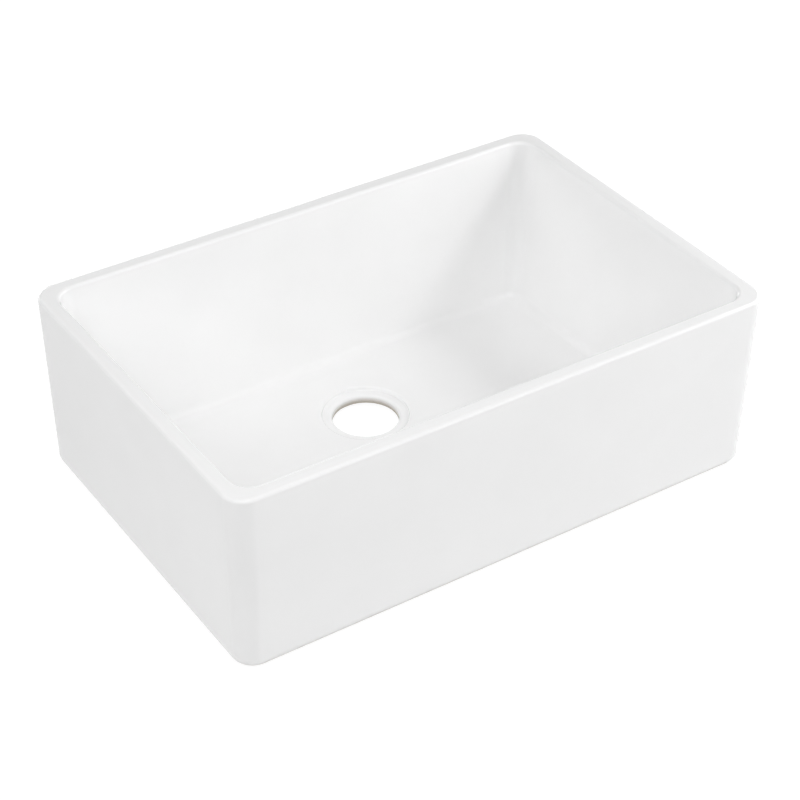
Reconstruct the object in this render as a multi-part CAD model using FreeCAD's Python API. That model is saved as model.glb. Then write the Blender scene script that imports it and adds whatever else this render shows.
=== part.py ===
import FreeCAD, Part
import math
import os

# A farmhouse apron front sink: one glazed fireclay casting, 30 x 20 x 10 in, in millimetres.
#
# The origin is on the floor plane, under the middle of the rim. +X runs to the right, the
# apron faces -Y, and +Z is up. The outer faces draw in slightly from the rim to the foot, and
# the bowl's walls lean outwards towards the rim. The bowl's floor falls gently to the back,
# where the waste is, and is dished round it.

# Outside, over the rim.
LENGTH = 762.0            # left to right
WIDTH = 508.0             # apron to back
HEIGHT = 254.0            # foot to rim
DRAFT_INSET = 4.5         # how far each outer face has drawn in by the time it reaches the foot
OUTER_CORNER_R = 28.0     # upright outer corners, at the rim
RIM_OUTER_ROUND = 5.0     # edge between rim and outer faces
FOOT_ROUND = 7.0          # edge between outer faces and foot

# Bowl.
RIM_WALL = 20.0           # rim, across the wall, before its edges are rounded
END_LEAN = 33.0           # how far each end wall has come in at the level of the waste
SIDE_LEAN = 29.5          # the same for the front and back walls
BOWL_CORNER_R = 28.0      # upright corners of the bowl, at the rim
FLOOR_CORNER_R = 18.0     # the same corners, at the level of the waste
RIM_INNER_ROUND = 5.0     # edge between rim and bowl walls
COVE_R = 12.0             # hollow round between bowl walls and floor
FLOOR_FALL = 1.0          # slope of the floor towards the back, in degrees
DISH_DEPTH = 3.5          # how far the dish takes the sloping floor down to the waste
DISH_R = 1100.0           # radius of the dish's hollow

# Waste outlet.
WASTE_BACK = 80.0         # from the middle of the sink towards the back
WASTE_D = 88.9            # bore for a 3 1/2 in basket strainer
WASTE_WALL = 12.0         # fireclay between the strainer's flange and its nut
SEAT_D = 116.0            # recess that takes the strainer's flange
SEAT_DROP = 5.0           # from the dish's edge round the recess down to the seat
SHOULDER_ROUND = 3.0      # dish rolls over into the recess
SEAT_COVE_R = 1.5         # hollow round at the foot of the recess wall
BORE_TOP_ROUND = 3.5      # seat rolls over into the bore
BORE_FOOT_CHAMFER = 1.0   # lower end of the bore, rubbed off

# Underside.
UNDERSIDE_RELIEF = 5.0    # the middle stands clear of the floor by this much
FOOT_BAND = 46.0          # width of the band that the sink stands on
RELIEF_CORNER_R = 24.0    # upright corners of the relieved middle
FOOT_INNER_CHAMFER = 1.5  # inner edge of the foot band, rubbed off

# Worked out from the sizes above.
SEAT_Z = UNDERSIDE_RELIEF + WASTE_WALL
WASTE_LEVEL = SEAT_Z + SEAT_DROP
UP = FreeCAD.Vector(0, 0, 1)
ALONG = FreeCAD.Vector(1, 0, 0)
WASTE_AXIS = FreeCAD.Vector(0, WASTE_BACK, 0)
SLOPE_POINT = WASTE_AXIS + UP * (WASTE_LEVEL + DISH_DEPTH)
DISH_CENTRE = WASTE_AXIS + UP * (WASTE_LEVEL + math.sqrt(DISH_R**2 - (SEAT_D / 2) ** 2))

# Modelling.
OVERSHOOT = 10.0          # how far a cutting solid runs past the face that it cuts
TOUCH = 0.01              # points nearer than this are at the same height


def rounded_rectangle(half_length, half_width, corner_r, z):
    """A level outline with four equal round corners, each in two arcs, round the Z axis."""
    x = half_length - corner_r
    y = half_width - corner_r
    edges = []
    for cx, cy, turn in [(x, -y, 270), (x, y, 0), (-x, y, 90), (-x, -y, 180)]:
        centre = FreeCAD.Vector(cx, cy, z)
        first = Part.makeCircle(corner_r, centre, UP, turn, turn + 45)
        second = Part.makeCircle(corner_r, centre, UP, turn + 45, turn + 90)
        if edges:
            edges.append(Part.makeLine(edges[-1].lastVertex().Point, first.firstVertex().Point))
        edges += [first, second]
    edges.append(Part.makeLine(edges[-1].lastVertex().Point, edges[0].firstVertex().Point))
    return Part.Wire(edges)


def wall(low_edge, high_edge):
    """The straight-sided face between an edge and the one above it."""
    if isinstance(low_edge.Curve, Part.Line):
        low = [low_edge.firstVertex().Point, low_edge.lastVertex().Point]
        high = [high_edge.lastVertex().Point, high_edge.firstVertex().Point]
        return Part.Face(Part.makePolygon(low + high + low[:1]))
    return Part.makeRuledSurface(low_edge, high_edge)


def between(lower, upper):
    """The solid between two outlines, with flat walls and ruled corners."""
    walls = [wall(low, high) for low, high in zip(lower.Edges, upper.Edges)]
    shell = Part.makeShell(walls + [Part.Face(lower), Part.Face(upper)])
    shell.sewShape()
    solid = Part.makeSolid(shell)
    if solid.Volume < 0:
        solid.reverse()
    return solid


def level_face(shape, z):
    """The level face of a shape at a height."""
    return next(
        face for face in shape.Faces
        if all(abs(vertex.Z - z) < TOUCH for vertex in face.Vertexes)
    )


def dish_face(shape):
    """The dish round the waste."""
    return next(face for face in shape.Faces if isinstance(face.Surface, Part.Sphere))


def hole_edges(face):
    """The edges round the opening in a face."""
    return [
        edge for wire in face.Wires if not wire.isSame(face.OuterWire) for edge in wire.Edges
    ]


def outer_body():
    """The block that the outer faces bound, rolled over round the rim and round the foot."""
    foot = rounded_rectangle(
        LENGTH / 2 - DRAFT_INSET, WIDTH / 2 - DRAFT_INSET, OUTER_CORNER_R - DRAFT_INSET, 0
    )
    rim = rounded_rectangle(LENGTH / 2, WIDTH / 2, OUTER_CORNER_R, HEIGHT)
    block = between(foot, rim)
    block = block.makeFillet(RIM_OUTER_ROUND, level_face(block, HEIGHT).Edges)
    return block.makeFillet(FOOT_ROUND, level_face(block, 0).Edges)


def bowl_outline(z):
    """The bowl's inner outline at a height, on walls that lean evenly from rim to waste."""
    share = (HEIGHT - z) / (HEIGHT - WASTE_LEVEL)
    return rounded_rectangle(
        LENGTH / 2 - RIM_WALL - END_LEAN * share,
        WIDTH / 2 - RIM_WALL - SIDE_LEAN * share,
        BOWL_CORNER_R + (FLOOR_CORNER_R - BOWL_CORNER_R) * share,
        z,
    )


def under_floor():
    """All that lies under the bowl's sloping floor, hollowed by the dish round the waste."""
    corner = FreeCAD.Vector(-LENGTH / 2, -WIDTH, -HEIGHT)
    ground = Part.makeBox(LENGTH, 2 * WIDTH, HEIGHT, corner)
    ground.rotate(FreeCAD.Vector(), ALONG, -FLOOR_FALL)
    ground.translate(SLOPE_POINT)
    return ground.cut(Part.makeSphere(DISH_R, DISH_CENTRE, ALONG))


def bowl_space():
    """The hollow of the bowl: leaning walls, sloping floor, and the cove between them."""
    well = between(bowl_outline(WASTE_LEVEL - OVERSHOOT), bowl_outline(HEIGHT + OVERSHOOT))
    space = well.cut(under_floor())
    slope = next(face for face in space.Faces if len(face.Wires) > 1)
    return space.makeFillet(COVE_R, slope.OuterWire.Edges)


def waste_space():
    """The stepped hole for the strainer, from the floor down through the underside."""
    bore = Part.makeCylinder(WASTE_D / 2, SEAT_Z + OVERSHOOT, WASTE_AXIS - UP * OVERSHOOT)
    recess = Part.makeCylinder(SEAT_D / 2, SEAT_DROP + OVERSHOOT, WASTE_AXIS + UP * SEAT_Z)
    return bore.fuse(recess)


def relief_space():
    """The shallow hollow under the middle of the sink."""
    half_length = LENGTH / 2 - DRAFT_INSET - FOOT_BAND
    half_width = WIDTH / 2 - DRAFT_INSET - FOOT_BAND
    mouth = rounded_rectangle(half_length, half_width, RELIEF_CORNER_R, -OVERSHOOT)
    roof = rounded_rectangle(half_length, half_width, RELIEF_CORNER_R, UNDERSIDE_RELIEF)
    return between(mouth, roof)


def basin():
    """The whole casting, with its edges rolled over or rubbed off."""
    body = outer_body().cut(bowl_space()).cut(waste_space()).cut(relief_space())
    body = body.makeFillet(RIM_INNER_ROUND, hole_edges(level_face(body, HEIGHT)))
    body = body.makeFillet(SHOULDER_ROUND, hole_edges(dish_face(body)))
    body = body.makeFillet(SEAT_COVE_R, level_face(body, SEAT_Z).OuterWire.Edges)
    body = body.makeFillet(BORE_TOP_ROUND, hole_edges(level_face(body, SEAT_Z)))
    body = body.makeChamfer(FOOT_INNER_CHAMFER, hole_edges(level_face(body, 0)))
    roof = level_face(body, UNDERSIDE_RELIEF)
    return body.makeChamfer(BORE_FOOT_CHAMFER, hole_edges(roof))


def main():
    os.makedirs("parts", exist_ok=True)
    shape = basin()
    print("valid", shape.isValid(), "solids", len(shape.Solids), "litres", shape.Volume / 1e6)
    shape.exportStep("parts/basin.step")


main()
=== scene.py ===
import math
from collections import namedtuple

import bmesh
import bpy
from mathutils import Matrix, Vector


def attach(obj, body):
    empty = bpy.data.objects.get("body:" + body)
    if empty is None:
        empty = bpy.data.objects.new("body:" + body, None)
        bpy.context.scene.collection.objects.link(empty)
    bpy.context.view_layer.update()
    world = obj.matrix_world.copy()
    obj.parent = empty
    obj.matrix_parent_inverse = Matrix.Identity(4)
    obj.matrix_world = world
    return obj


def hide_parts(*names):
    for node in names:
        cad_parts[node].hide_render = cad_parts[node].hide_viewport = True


# A farmhouse apron front sink in glazed fireclay, on a white studio floor.
#
# Metres, with the sink's foot on the ground, the middle of its rim over the origin, and the
# apron facing -Y. The bowl is modelled first, then the dish and the stepped waste outlet in its
# floor, and last the outside and the underside. The edges are rounded over at the end.

bl_info = {
    "name": "Farmhouse Apron Front Sink",
    "version": (1, 0, 0),
    "blender": (4, 5, 0),
    "location": "View3D > Sidebar > Sink",
    "description": "Models, glazes and lights a fireclay apron front sink",
    "category": "Add Mesh",
}

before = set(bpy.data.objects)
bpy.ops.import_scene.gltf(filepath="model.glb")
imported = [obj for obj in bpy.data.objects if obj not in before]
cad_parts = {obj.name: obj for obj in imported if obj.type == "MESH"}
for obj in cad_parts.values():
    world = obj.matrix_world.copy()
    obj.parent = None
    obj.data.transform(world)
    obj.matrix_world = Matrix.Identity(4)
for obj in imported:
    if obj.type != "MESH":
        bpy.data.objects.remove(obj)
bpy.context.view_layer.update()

MM = 0.001
CORNER_STEPS = 24                       # steps round each upright corner
RING_POINTS = 4 * (CORNER_STEPS + 1)    # as many points as an outline with four corners has
DISH_STEPS = 8                          # rings in the dip round the waste
NEAR = 0.3 * MM                         # points nearer than this to an outline lie on it
TILT_SLACK = 2.4 * MM                   # how far a tilted ring may leave its own level
BELOW_WASTE = 10 * MM                   # how far the walls run on before they are trimmed
PAST_COVE = 1.15                        # the floor's inner line lies this many coves in
DISH_TO_RECESS = 86.0                   # degrees from the dish, which leans by 4, down the recess
SOFT_TURN = 40.0                        # edges that turn by fewer degrees are shaded smoothly

# How fine each pattern is, in features per metre, from the size of the real ones.
CLOUD_SCALE = 9.0                       # waves of the casting, clouds of the glaze, 110 mm across
RIPPLE_SCALE = 260.0                    # ripple of the glaze, 4 mm across
GROG_SCALE = 700.0                      # grog grains in the bare clay, 1.4 mm across
WIPE_SCALE = 60.0                       # wander of the wiped edge of the glaze, 17 mm along it

FLOOR_SPAN = 24.0                       # metres, past the edge of every view
FLOOR_DROP = 0.2 * MM                   # keeps the floor clear of the foot that stands on it
LAMP_DISTANCE = 2.6                     # metres from the sink to each softbox


def linear(code):
    """The linear colour of an sRGB hex value."""
    channels = [int(code[i:i + 2], 16) / 255 for i in (1, 3, 5)]
    return [c / 12.92 if c <= 0.04045 else ((c + 0.055) / 1.055) ** 2.4 for c in channels]


def length(name, description, millimetres):
    """A size that shows in the sidebar, with its default in millimetres."""
    return bpy.props.FloatProperty(
        name=name, description=description, default=millimetres * MM, min=0.0,
        unit="LENGTH", precision=4,
    )


def colour(name, description, code):
    """A colour that shows in the sidebar, with its default as an sRGB hex value."""
    return bpy.props.FloatVectorProperty(
        name=name, description=description, default=linear(code), min=0.0, max=1.0,
        subtype="COLOR",
    )


class SinkSizes(bpy.types.PropertyGroup):
    """The sizes of the casting."""

    length: length("Length", "Left to right, over the rim", 762)
    width: length("Width", "Apron to back, over the rim", 508)
    height: length("Height", "Foot to rim", 254)
    draft: length("Draft", "How far the outer faces draw in by the foot", 4.5)
    outer_corner: length("Outer Corner", "Radius of the upright outer corners", 28)
    rim_outer_round: length("Rim Outer Round", "Radius between rim and outer faces", 5)
    foot_round: length("Foot Round", "Radius between outer faces and foot", 13)
    rim_wall: length("Rim Wall", "Width of the rim before its edges are rounded", 20)
    end_lean: length("End Lean", "How far the end walls come in by the waste", 33)
    side_lean: length("Side Lean", "How far the front and back walls come in", 29.5)
    bowl_corner: length("Bowl Corner", "Radius of the bowl's corners at the rim", 28)
    floor_corner: length("Floor Corner", "Radius of the bowl's corners at the waste", 18)
    rim_inner_round: length("Rim Inner Round", "Radius between rim and bowl", 5)
    cove: length("Cove", "Hollow radius between walls and floor", 12)
    dish_depth: length("Dish Depth", "How far the floor dips round the waste", 3.5)
    dish_reach: length("Dish Reach", "Radius over which the floor dips", 108)
    waste_back: length("Waste Back", "From the middle to the waste", 80)
    bore: length("Bore", "Diameter of the waste bore", 88.9)
    bore_wall: length("Bore Wall", "Fireclay between flange and nut", 12)
    seat: length("Seat", "Diameter of the flange recess", 116)
    seat_drop: length("Seat Drop", "Depth of the flange recess", 5)
    shoulder: length("Shoulder", "Radius over which the floor rolls into the recess", 3)
    seat_cove: length("Seat Cove", "Hollow radius at the foot of the recess", 1.5)
    bore_round: length("Bore Round", "Radius over which the seat rolls into the bore", 3.5)
    bore_chamfer: length("Bore Chamfer", "Rubbed edge at the foot of the bore", 1)
    relief: length("Relief", "How far the middle of the underside is raised", 5)
    foot_band: length("Foot Band", "Width of the band that the sink stands on", 46)
    relief_corner: length("Relief Corner", "Radius of the raised middle's corners", 24)
    foot_chamfer: length("Foot Chamfer", "Rubbed inner edge of the foot band", 1.5)
    fall: bpy.props.FloatProperty(
        name="Fall", description="Slope of the bowl's floor towards the back",
        default=math.radians(1.0), subtype="ANGLE",
    )


class SinkFinish(bpy.types.PropertyGroup):
    """The colours of the glaze and of the clay under it."""

    glaze: colour("Glaze", "White glaze where it lies full", "#FBFBFB")
    # Thin glaze also paints the shade on the rim top.
    thin_glaze_and_rim_shade: colour("Thin Glaze", "Glaze where it has drawn thin over the clay", "#F3F3F3")
    # The clay is set dark, as painted shade for the line along the foot and the depth of the
    # bore.
    clay: colour("Clay", "Bare fired clay of the foot", "#B4AB9D")
    clay_speck: colour("Clay Speck", "Grog grains in the bare clay", "#958A7B")


class SinkStudio(bpy.types.PropertyGroup):
    """The light and the camera."""

    light: bpy.props.FloatProperty(
        name="Light", description="Share of their power that the softboxes give", default=1.0,
        subtype="FACTOR",
    )
    lens: bpy.props.FloatProperty(
        name="Lens", description="Focal length on a 36 mm wide sensor", default=95.23,
        unit="CAMERA",
    )
    azimuth: bpy.props.FloatProperty(
        name="Azimuth", description="How far round to the left the camera stands",
        default=math.radians(-33.601), subtype="ANGLE",
    )
    elevation: bpy.props.FloatProperty(
        name="Elevation", description="How far the camera looks down",
        default=math.radians(36.064), subtype="ANGLE",
    )
    roll: bpy.props.FloatProperty(
        name="Roll", description="How far the camera leans", default=math.radians(0.444),
        subtype="ANGLE",
    )
    place: bpy.props.FloatVectorProperty(
        name="Place", description="Where the camera stands",
        default=(-1.2124, -1.8267, 1.6881), unit="LENGTH",
    )


# The softboxes: how far each stands round from the apron towards the right and how far up it is,
# in degrees, its width and height in metres, and its power in watts.
SOFTBOXES = {
    "front_left_softbox": (-45, 45, 2.4, 1.8, 32.6),
    "low_left_softbox": (-90, 20, 2.4, 1.4, 7.2),
    "back_left_softbox": (-135, 45, 2.4, 1.8, 17.0),
    "back_softbox": (180, 6, 2.4, 0.7, 20.5),
    "low_right_softbox": (90, 20, 2.4, 1.4, 18.0),
    "low_front_right_softbox": (45, 20, 2.4, 1.4, 18.2),
    "high_front_softbox": (0, 68, 2.0, 2.0, 10.8),
    "key_softbox": (64, 40, 0.5, 0.5, 13.6),
}

# A level rounded outline, seen from above: half its length and width, the radius of its corners,
# its height, and how far its middle lies towards the back.
Outline = namedtuple("Outline", "half_length half_width corner height back", defaults=(0.0,))


def ring(radius, height, back):
    """A round outline."""
    return Outline(radius, radius, radius, height, back)


def outside(outline, point):
    """How far a point lies outside an outline, seen from above. It is 0 on the line."""
    x = abs(point.x) - outline.half_length + outline.corner
    y = abs(point.y - outline.back) - outline.half_width + outline.corner
    return math.hypot(max(x, 0.0), max(y, 0.0)) + min(max(x, y), 0.0) - outline.corner


def is_on(outline, point, height_slack=NEAR):
    """Whether a point lies on an outline."""
    level = abs(point.z - outline.height) < height_slack
    return level and abs(outside(outline, point)) < NEAR


def edit_mesh():
    """The mesh that is open in edit mode."""
    return bmesh.from_edit_mesh(bpy.context.edit_object.data)


def select_edges(test):
    """Selects the edges that pass a test, and nothing else."""
    bpy.ops.mesh.select_all(action="DESELECT")
    bpy.ops.mesh.select_mode(type="EDGE")
    mesh = edit_mesh()
    for edge in mesh.edges:
        edge.select_set(test(edge))
    bmesh.update_edit_mesh(bpy.context.edit_object.data)


def select_outlines(*outlines, height_slack=NEAR):
    """Selects the edges that lie along any of the outlines."""
    select_edges(lambda edge: any(
        all(is_on(outline, vert.co, height_slack) for vert in edge.verts) for outline in outlines
    ))


def draw_outline(outline):
    """Adds an outline as a loop of edges."""
    bpy.ops.mesh.select_all(action="DESELECT")
    place = (0.0, outline.back, outline.height)
    bpy.ops.mesh.primitive_plane_add(size=2.0, location=place)
    bpy.ops.transform.resize(
        value=(outline.half_length, outline.half_width, 1.0), center_override=place
    )
    bpy.ops.mesh.bevel(
        offset=outline.corner, segments=CORNER_STEPS, affect="VERTICES", clamp_overlap=False
    )
    bpy.ops.mesh.delete(type="ONLY_FACE")


def draw_ring(outline, tilt=0.0):
    """Adds a round outline as a loop of edges, tilted about the X direction."""
    bpy.ops.mesh.select_all(action="DESELECT")
    bpy.ops.mesh.primitive_circle_add(
        vertices=RING_POINTS, radius=outline.corner,
        location=(0.0, outline.back, outline.height), rotation=(tilt, 0.0, 0.0),
    )


def bridge(*outlines, height_slack=NEAR):
    """Closes the band between two outlines."""
    select_outlines(*outlines, height_slack=height_slack)
    bpy.ops.mesh.bridge_edge_loops()


def step_to(outer, inner):
    """Carries a surface on from one round outline to the next, by extrusion."""
    select_outlines(outer)
    bpy.ops.mesh.extrude_edges_indiv()
    bpy.ops.transform.translate(value=(0.0, 0.0, inner.height - outer.height))
    size = inner.corner / outer.corner
    bpy.ops.transform.resize(
        value=(size, size, 1.0), center_override=(0.0, inner.back, inner.height)
    )


def round_over(outline, radius, turn=90.0, steps=8):
    """Rounds the edge along an outline, where the surface turns by an angle in degrees."""
    select_outlines(outline)
    bevel(radius, turn, steps)


def bevel(radius, turn, steps):
    """Rounds the selected edges. The round begins where a circle would touch both faces."""
    bpy.ops.mesh.bevel(
        offset=radius * math.tan(math.radians(turn) / 2), segments=steps, affect="EDGES",
        clamp_overlap=False,
    )


def bowl_outline(sizes, height):
    """The bowl's outline at a height, on walls that lean evenly from rim to waste."""
    waste_level = sizes.relief + sizes.bore_wall + sizes.seat_drop
    share = (sizes.height - height) / (sizes.height - waste_level)
    return Outline(
        sizes.length / 2 - sizes.rim_wall - sizes.end_lean * share,
        sizes.width / 2 - sizes.rim_wall - sizes.side_lean * share,
        sizes.bowl_corner + (sizes.floor_corner - sizes.bowl_corner) * share,
        height,
    )


class SINK_OT_basin(bpy.types.Operator):
    """Models the fireclay casting and glazes it"""

    bl_idname = "sink.basin"
    bl_label = "Basin"
    bl_options = {"REGISTER", "UNDO"}

    def execute(self, context):
        self.sizes = context.scene.sink_sizes
        self.find_levels()
        bpy.ops.object.select_all(action="DESELECT")
        bpy.ops.mesh.primitive_plane_add(size=0.1)
        basin = context.object
        basin.name = basin.data.name = "fireclay_basin"
        bpy.ops.object.mode_set(mode="EDIT")
        bpy.ops.mesh.delete(type="VERT")
        self.make_bowl()
        self.make_dish()
        self.make_waste()
        self.make_outside()
        bpy.ops.mesh.select_all(action="SELECT")
        bpy.ops.mesh.normals_make_consistent(inside=False)
        self.round_edges()
        bpy.ops.object.mode_set(mode="OBJECT")
        self.smooth(basin)
        glaze = glazed_fireclay(context.scene.sink_finish, self.sizes)
        basin.data.materials.append(glaze)
        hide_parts("basin")
        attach(basin, "root")
        return {"FINISHED"}

    def find_levels(self):
        """Works out the heights and outlines that more than one step uses."""
        sizes = self.sizes
        self.seat_level = sizes.relief + sizes.bore_wall
        self.waste_level = self.seat_level + sizes.seat_drop
        self.slope_place = Vector((0.0, sizes.waste_back, self.waste_level + sizes.dish_depth))
        self.slope_normal = Vector((0.0, math.sin(sizes.fall), math.cos(sizes.fall)))
        self.mouth = bowl_outline(sizes, sizes.height)
        self.rim = Outline(
            sizes.length / 2, sizes.width / 2, sizes.outer_corner, sizes.height
        )
        self.foot = Outline(
            sizes.length / 2 - sizes.draft, sizes.width / 2 - sizes.draft,
            sizes.outer_corner, 0.0,
        )
        self.relief_mouth = Outline(
            self.foot.half_length - sizes.foot_band, self.foot.half_width - sizes.foot_band,
            sizes.relief_corner, 0.0,
        )
        self.relief_roof = self.relief_mouth._replace(height=sizes.relief)
        back = sizes.waste_back
        self.shoulder = ring(sizes.seat / 2, self.waste_level, back)
        self.recess_foot = ring(sizes.seat / 2, self.seat_level, back)
        self.bore_top = ring(sizes.bore / 2, self.seat_level, back)
        self.bore_foot = ring(sizes.bore / 2, sizes.relief, back)

    def on_slope(self, point):
        """Whether a point lies on the bowl's sloping floor."""
        return abs((point - self.slope_place).dot(self.slope_normal)) < 0.01 * MM

    def make_bowl(self):
        """Makes the leaning walls and trims them to the slope of the floor."""
        below = bowl_outline(self.sizes, self.waste_level - BELOW_WASTE)
        draw_outline(self.mouth)
        draw_outline(below)
        bridge(self.mouth, below)
        bpy.ops.mesh.select_all(action="SELECT")
        bpy.ops.mesh.bisect(
            plane_co=self.slope_place, plane_no=self.slope_normal, use_fill=True,
            clear_inner=True, threshold=1e-6,
        )
        bpy.ops.mesh.inset(thickness=self.sizes.cove * PAST_COVE)
        bpy.ops.mesh.delete(type="ONLY_FACE")

    def make_dish(self):
        """Lets the floor dip to the waste.

        The dip leaves the slope smoothly at its outer edge, and it is level all round the recess.
        """
        sizes = self.sizes
        span = sizes.dish_reach - sizes.seat / 2
        outer = ring(sizes.dish_reach, self.slope_place.z, sizes.waste_back)
        draw_ring(outer, -sizes.fall)
        select_edges(lambda edge: len(edge.link_faces) < 2 and all(
            self.on_slope(vert.co) for vert in edge.verts
        ))
        bpy.ops.mesh.bridge_edge_loops()
        for step in reversed(range(DISH_STEPS)):
            share = step / DISH_STEPS
            rise = share + share**2 - share**3
            inner = ring(
                sizes.seat / 2 + span * share, self.waste_level + sizes.dish_depth * rise,
                sizes.waste_back,
            )
            draw_ring(inner, -sizes.fall * share)
            bridge(outer, inner, height_slack=TILT_SLACK)
            outer = inner

    def make_waste(self):
        """Steps the waste down from the dish to the seat, and on through the bore."""
        step_to(self.shoulder, self.recess_foot)
        step_to(self.recess_foot, self.bore_top)
        step_to(self.bore_top, self.bore_foot)

    def make_outside(self):
        """Makes the rim, the drafted outer faces, the foot band and the raised middle."""
        for inner, outer in (
            (self.mouth, self.rim), (self.rim, self.foot), (self.foot, self.relief_mouth),
            (self.relief_mouth, self.relief_roof),
        ):
            draw_outline(outer)
            bridge(inner, outer)
        bridge(self.relief_roof, self.bore_foot)

    def round_edges(self):
        """Rounds every edge as the mould and the glaze leave it."""
        sizes = self.sizes
        lean = math.degrees(math.atan(sizes.end_lean / (sizes.height - self.waste_level)))
        round_over(self.rim, sizes.rim_outer_round)
        round_over(self.mouth, sizes.rim_inner_round, turn=90 - lean)
        round_over(self.foot, sizes.foot_round)
        round_over(self.relief_mouth, sizes.foot_chamfer, steps=1)
        round_over(self.recess_foot, sizes.seat_cove, steps=5)
        round_over(self.shoulder, sizes.shoulder, turn=DISH_TO_RECESS, steps=7)
        round_over(self.bore_top, sizes.bore_round, steps=7)
        round_over(self.bore_foot, sizes.bore_chamfer, steps=1)
        select_edges(lambda edge: edge.calc_face_angle(0.0) > 1.0 and all(
            self.on_slope(vert.co) for vert in edge.verts
        ))
        bevel(sizes.cove, 90 - lean, 10)

    def smooth(self, basin):
        """Shades the rounds smoothly and keeps the broad faces flat."""
        bpy.ops.object.shade_smooth_by_angle(angle=math.radians(SOFT_TURN))
        basin.modifiers.new("Flat Faces", "WEIGHTED_NORMAL").keep_sharp = True
        bpy.ops.object.modifier_apply(modifier="Flat Faces")


def add_node(tree, kind, links=(), **settings):
    """Adds a shader node with its settings, its values by socket, and its links."""
    node = tree.nodes.new(kind)
    for name, value in settings.items():
        setattr(node, name, value)
    for socket, value in dict(links).items():
        if isinstance(value, bpy.types.NodeSocket):
            tree.links.new(value, node.inputs[socket])
        else:
            node.inputs[socket].default_value = value
    return node


def new_material(name):
    """An empty material and its node tree."""
    material = bpy.data.materials.new(name)
    material.use_nodes = True
    material.node_tree.nodes.clear()
    return material, material.node_tree


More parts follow.
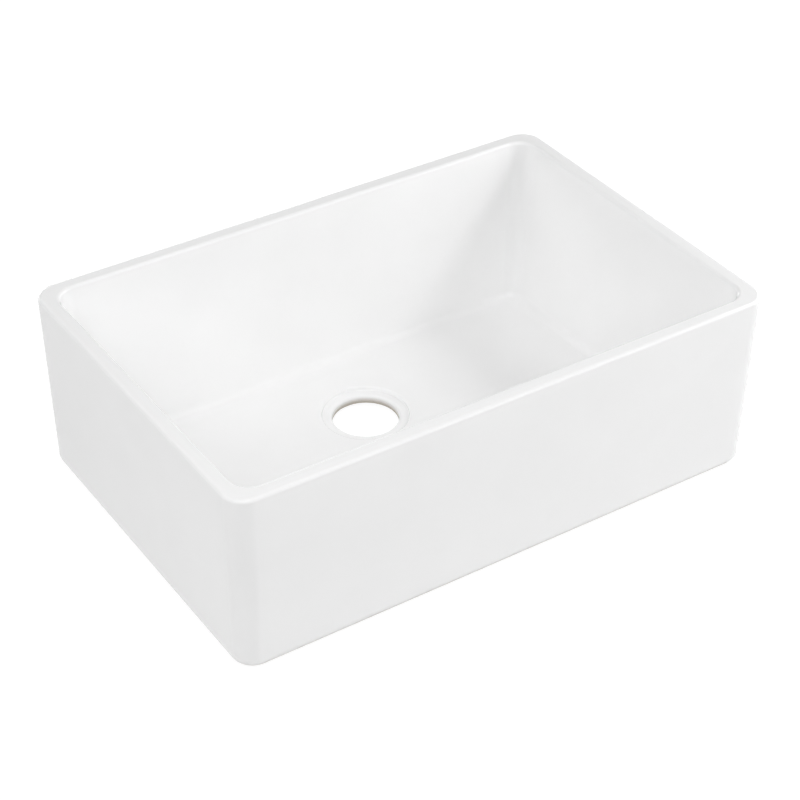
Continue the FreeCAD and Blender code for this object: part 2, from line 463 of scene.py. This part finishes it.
def glazed_fireclay(finish, sizes):
    """Fired fireclay under a poured white glaze.

    The glaze is thick and glassy, so it gives the eye a bright, soft-edged gloss over a surface
    that is never quite flat. The glaze is taken off the foot before firing, which shows the matt
    buff clay, as the unglazed underside does. Painted shade is laid on as colour in three places.
    The rim top is darkened as thin glaze. The clay at the foot is dark and reaches up into view,
    giving the dark line where the sink meets the floor. The bore turns to the clay's colour
    towards its foot.
    """
    material, tree = new_material("glazed fireclay")
    place = add_node(tree, "ShaderNodeTexCoord").outputs["Object"]
    height = add_node(tree, "ShaderNodeSeparateXYZ", {"Vector": place}).outputs["Z"]

    # The glaze lies in uneven clouds, and draws thin over the rim. Over the rim this is partly
    # thin glaze and partly painted shade: the whole rim top and the tops of the walls are made
    # darker.
    cloud = add_node(tree, "ShaderNodeTexNoise", {
        "Vector": place, "Scale": CLOUD_SCALE, "Detail": 2.0,
    })
    uneven = add_node(tree, "ShaderNodeMapRange", {
        "Value": cloud.outputs["Fac"], "From Min": 0.3, "From Max": 0.7, "To Max": 0.3,
    })
    rim_thin_glaze_and_shade = add_node(tree, "ShaderNodeMapRange", {
        "Value": height, "From Min": sizes.height - 1.6 * sizes.rim_inner_round,
        "From Max": sizes.height - 0.3 * sizes.rim_inner_round, "To Max": 0.5,
    }, interpolation_type="SMOOTHSTEP")
    thinness_and_rim_shade = add_node(tree, "ShaderNodeMath", {
        0: uneven.outputs["Result"], 1: rim_thin_glaze_and_shade.outputs["Result"],
    }, operation="MAXIMUM")
    glaze = add_node(tree, "ShaderNodeMix", {
        0: thinness_and_rim_shade.outputs["Value"], 6: (*finish.glaze, 1.0), 7: (*finish.thin_glaze_and_rim_shade, 1.0),
    }, data_type="RGBA")

    # The clay is buff, with darker grains of grog.
    grog = add_node(tree, "ShaderNodeTexNoise", {
        "Vector": place, "Scale": GROG_SCALE, "Detail": 3.0,
    })
    specks = add_node(tree, "ShaderNodeMapRange", {
        "Value": grog.outputs["Fac"], "From Min": 0.55, "From Max": 0.7,
    })
    clay = add_node(tree, "ShaderNodeMix", {
        0: specks.outputs["Result"], 6: (*finish.clay, 1.0), 7: (*finish.clay_speck, 1.0),
    }, data_type="RGBA")

    # It shows below a wandering line round the foot, where the glaze was taken off by hand, and
    # wherever the surface faces down. The line sits high and the clay is dark, so the foot band
    # is also painted shade: the dark line where the sink meets the floor.
    wander = add_node(tree, "ShaderNodeTexNoise", {"Vector": place, "Scale": WIPE_SCALE})
    line = add_node(tree, "ShaderNodeMapRange", {
        "Value": wander.outputs["Fac"], "To Min": 4.8 * MM, "To Max": 6.8 * MM,
    })
    above = add_node(tree, "ShaderNodeMath", {0: height, 1: line.outputs["Result"]},
                     operation="SUBTRACT")
    facing = add_node(tree, "ShaderNodeNewGeometry").outputs["Normal"]
    upright = add_node(tree, "ShaderNodeSeparateXYZ", {"Vector": facing}).outputs["Z"]
    under_roof = add_node(tree, "ShaderNodeMapRange", {
        "Value": upright, "From Min": -0.9, "From Max": -0.7, "To Min": 1.0, "To Max": 0.0,
    })
    clay_band_and_foot_shade = add_node(tree, "ShaderNodeMapRange", {
        "Value": above.outputs["Value"], "From Min": 0.0, "From Max": 0.4 * MM,
        "To Min": 1.0, "To Max": 0.0,
    })
    foot = add_node(tree, "ShaderNodeMath", {
        0: clay_band_and_foot_shade.outputs["Result"], 1: under_roof.outputs["Result"],
    }, operation="MAXIMUM")

    # In the bore, and on the lower part of the roll at its top, the colour turns to the clay's
    # downwards, towards the foot of the bore: painted shade for the dark depth of the bore.
    flat_place = add_node(tree, "ShaderNodeVectorMath", {
        0: place, 1: (1.0, 1.0, 0.0),
    }, operation="MULTIPLY")
    from_axis = add_node(tree, "ShaderNodeVectorMath", {
        0: flat_place.outputs["Vector"], 1: (0.0, sizes.waste_back, 0.0),
    }, operation="DISTANCE")
    in_bore = add_node(tree, "ShaderNodeMath", {
        0: from_axis.outputs["Value"], 1: sizes.bore / 2 + 2.0 * MM,
    }, operation="LESS_THAN")
    seat_level = sizes.relief + sizes.bore_wall
    bore_foot_shade = add_node(tree, "ShaderNodeMapRange", {
        "Value": height, "From Min": sizes.relief, "From Max": seat_level - 1.0 * MM,
        "To Min": 1.0, "To Max": 0.0,
    }, interpolation_type="SMOOTHSTEP")
    bore_shade = add_node(tree, "ShaderNodeMath", {
        0: bore_foot_shade.outputs["Result"], 1: in_bore.outputs["Value"],
    }, operation="MULTIPLY")
    clay_and_painted_shade = add_node(tree, "ShaderNodeMath", {
        0: foot.outputs["Value"], 1: bore_shade.outputs["Value"],
    }, operation="MAXIMUM")

    # The clay's colour stands for the unglazed foot and underside, and for the painted shade
    # along the foot and in the bore.
    colour_mix = add_node(tree, "ShaderNodeMix", {
        0: clay_and_painted_shade.outputs["Value"], 6: glaze.outputs[2], 7: clay.outputs[2],
    }, data_type="RGBA")

    gloss = add_node(tree, "ShaderNodeMapRange", {
        "Value": cloud.outputs["Fac"], "To Min": 0.03, "To Max": 0.07,
    })
    roughness = add_node(tree, "ShaderNodeMix", {
        0: clay_and_painted_shade.outputs["Value"], 2: gloss.outputs["Result"], 3: 0.85,
    }, data_type="FLOAT")

    # Slow waves from casting and firing, the finer ripple of the glaze, and the clay's grain.
    waves = add_node(tree, "ShaderNodeTexNoise", {
        "Vector": place, "Scale": CLOUD_SCALE, "Detail": 1.0,
    })
    ripple = add_node(tree, "ShaderNodeTexNoise", {
        "Vector": place, "Scale": RIPPLE_SCALE, "Detail": 1.0,
    })
    wave_bump = add_node(tree, "ShaderNodeBump", {
        "Height": waves.outputs["Fac"], "Distance": 0.08 * MM, "Strength": 1.0,
    })
    ripple_bump = add_node(tree, "ShaderNodeBump", {
        "Height": ripple.outputs["Fac"], "Distance": 0.004 * MM, "Strength": 1.0,
        "Normal": wave_bump.outputs["Normal"],
    })
    grain_bump = add_node(tree, "ShaderNodeBump", {
        "Height": grog.outputs["Fac"], "Distance": 0.3 * MM, "Strength": clay_and_painted_shade.outputs["Value"],
        "Normal": ripple_bump.outputs["Normal"],
    })

    shader = add_node(tree, "ShaderNodeBsdfPrincipled", {
        "Base Color": colour_mix.outputs[2], "Roughness": roughness.outputs[0],
        "IOR": 1.5, "Normal": grain_bump.outputs["Normal"],
    })
    add_node(tree, "ShaderNodeOutputMaterial", {"Surface": shader.outputs["BSDF"]})
    return material


def seen_as_white(tree):
    """1 for what the camera, a reflection or a clear body sees, and 0 for lighting."""
    path = add_node(tree, "ShaderNodeLightPath").outputs
    mirrored = add_node(tree, "ShaderNodeMath", {
        0: path["Is Camera Ray"], 1: path["Is Glossy Ray"],
    }, operation="MAXIMUM")
    return add_node(tree, "ShaderNodeMath", {
        0: mirrored.outputs["Value"], 1: path["Is Transmission Ray"],
    }, operation="MAXIMUM").outputs["Value"]


def white_floor_paint():
    """A matt white studio floor.

    It lights the sink as white paint does. The camera sees it as white with a faint shadow close
    to the foot, because most of what it shows there is a glow of its own, which grows to pure
    white between 0.5 and 2 m from the sink's middle.
    """
    material, tree = new_material("white studio floor")
    paint = add_node(tree, "ShaderNodeBsdfDiffuse", {"Color": (*linear("#E7E7E7"), 1.0)})
    shade = add_node(tree, "ShaderNodeBsdfDiffuse", {"Color": (*linear("#6C6C6C"), 1.0)})
    far = add_node(tree, "ShaderNodeVectorMath", {
        0: add_node(tree, "ShaderNodeTexCoord").outputs["Object"],
    }, operation="LENGTH")
    strength = add_node(tree, "ShaderNodeMapRange", {
        "Value": far.outputs["Value"], "From Min": 0.5, "From Max": 2.0,
        "To Min": 0.92, "To Max": 1.0,
    })
    glow = add_node(tree, "ShaderNodeEmission", {"Strength": strength.outputs["Result"]})
    seen = add_node(tree, "ShaderNodeAddShader", {
        0: shade.outputs["BSDF"], 1: glow.outputs["Emission"],
    })
    chosen = add_node(tree, "ShaderNodeMixShader", {
        0: seen_as_white(tree), 1: paint.outputs["BSDF"], 2: seen.outputs["Shader"],
    })
    add_node(tree, "ShaderNodeOutputMaterial", {"Surface": chosen.outputs["Shader"]})
    return material


def direction(round_by, up_by):
    """The direction of something that stands round from the apron, and up, by two angles."""
    return Vector((
        math.sin(round_by) * math.cos(up_by), -math.cos(round_by) * math.cos(up_by),
        math.sin(up_by),
    ))


class SINK_OT_stage(bpy.types.Operator):
    """Sets up the floor, the light and the camera"""

    bl_idname = "sink.stage"
    bl_label = "Stage"
    bl_options = {"REGISTER", "UNDO"}

    def execute(self, context):
        studio = context.scene.sink_studio
        self.add_floor(context)
        self.add_sky(context)
        self.add_lamps(context, studio)
        self.add_camera(context, studio)
        context.scene.view_settings.view_transform = "Standard"
        return {"FINISHED"}

    def add_floor(self, context):
        """Adds a floor that reaches past every view."""
        bpy.ops.object.select_all(action="DESELECT")
        bpy.ops.mesh.primitive_plane_add(size=FLOOR_SPAN, location=(0.0, 0.0, -FLOOR_DROP))
        bpy.ops.object.transform_apply(location=True)
        floor = context.object
        floor.name = floor.data.name = "studio_floor"
        floor.data.materials.append(white_floor_paint())

    def add_sky(self, context):
        """Shows white behind the sink and in its glaze. It gives no light of its own."""
        sky = context.scene.world or bpy.data.worlds.new("studio")
        context.scene.world = sky
        sky.use_nodes = True
        tree = sky.node_tree
        tree.nodes.clear()
        shine = add_node(tree, "ShaderNodeBackground", {"Strength": seen_as_white(tree)})
        add_node(tree, "ShaderNodeOutputWorld", {"Surface": shine.outputs["Background"]})

    def add_lamps(self, context, studio):
        """Stands the softboxes round the sink, all aimed at the middle of its body."""
        middle = Vector((0.0, 0.0, 0.1))
        target = Vector((0.0, 0.0, 0.12))
        for name, (round_by, up_by, width, height, watts) in SOFTBOXES.items():
            away = direction(math.radians(round_by), math.radians(up_by))
            place = middle + LAMP_DISTANCE * away
            bpy.ops.object.light_add(type="AREA", location=place)
            lamp = context.object
            lamp.name = lamp.data.name = name
            lamp.data.shape = "RECTANGLE"
            lamp.data.size = width
            lamp.data.size_y = height
            lamp.data.energy = watts * studio.light
            lamp.rotation_euler = (target - place).to_track_quat("-Z", "Y").to_euler()
            lamp.visible_camera = False

    def add_camera(self, context, studio):
        """Stands the camera to the left of the apron, looking down into the bowl."""
        away = direction(studio.azimuth, studio.elevation)
        right = Vector((math.cos(studio.azimuth), math.sin(studio.azimuth), 0.0))
        turn = Matrix((right, away.cross(right), away)).transposed().to_4x4()
        bpy.ops.object.camera_add()
        camera = context.object
        camera.name = "studio_camera"
        camera.matrix_world = (
            Matrix.Translation(studio.place) @ turn @ Matrix.Rotation(studio.roll, 4, "Z")
        )
        camera.data.sensor_fit = "HORIZONTAL"
        camera.data.sensor_width = 36.0
        camera.data.lens = studio.lens
        camera.data.clip_end = 60.0
        camera.data.dof.use_dof = False
        context.scene.camera = camera


class SINK_PT_sidebar(bpy.types.Panel):
    """Lists the sink's sizes, colours and light, and its operators"""

    bl_idname = "SINK_PT_sidebar"
    bl_label = "Apron Front Sink"
    bl_space_type = "VIEW_3D"
    bl_region_type = "UI"
    bl_category = "Sink"

    def draw(self, context):
        scene = context.scene
        for operator in (SINK_OT_basin, SINK_OT_stage):
            self.layout.operator(operator.bl_idname)
        for group in (scene.sink_sizes, scene.sink_finish, scene.sink_studio):
            box = self.layout.box()
            for name in group.bl_rna.properties.keys():
                if name not in {"rna_type", "name"}:
                    box.prop(group, name)


CLASSES = (SinkSizes, SinkFinish, SinkStudio, SINK_OT_basin, SINK_OT_stage, SINK_PT_sidebar)


def register():
    for cls in CLASSES:
        bpy.utils.register_class(cls)
    bpy.types.Scene.sink_sizes = bpy.props.PointerProperty(type=SinkSizes)
    bpy.types.Scene.sink_finish = bpy.props.PointerProperty(type=SinkFinish)
    bpy.types.Scene.sink_studio = bpy.props.PointerProperty(type=SinkStudio)


def unregister():
    del bpy.types.Scene.sink_studio
    del bpy.types.Scene.sink_finish
    del bpy.types.Scene.sink_sizes
    for cls in reversed(CLASSES):
        bpy.utils.unregister_class(cls)


def main():
    register()
    bpy.ops.sink.basin()
    bpy.ops.sink.stage()


if __name__ == "__main__":
    main()
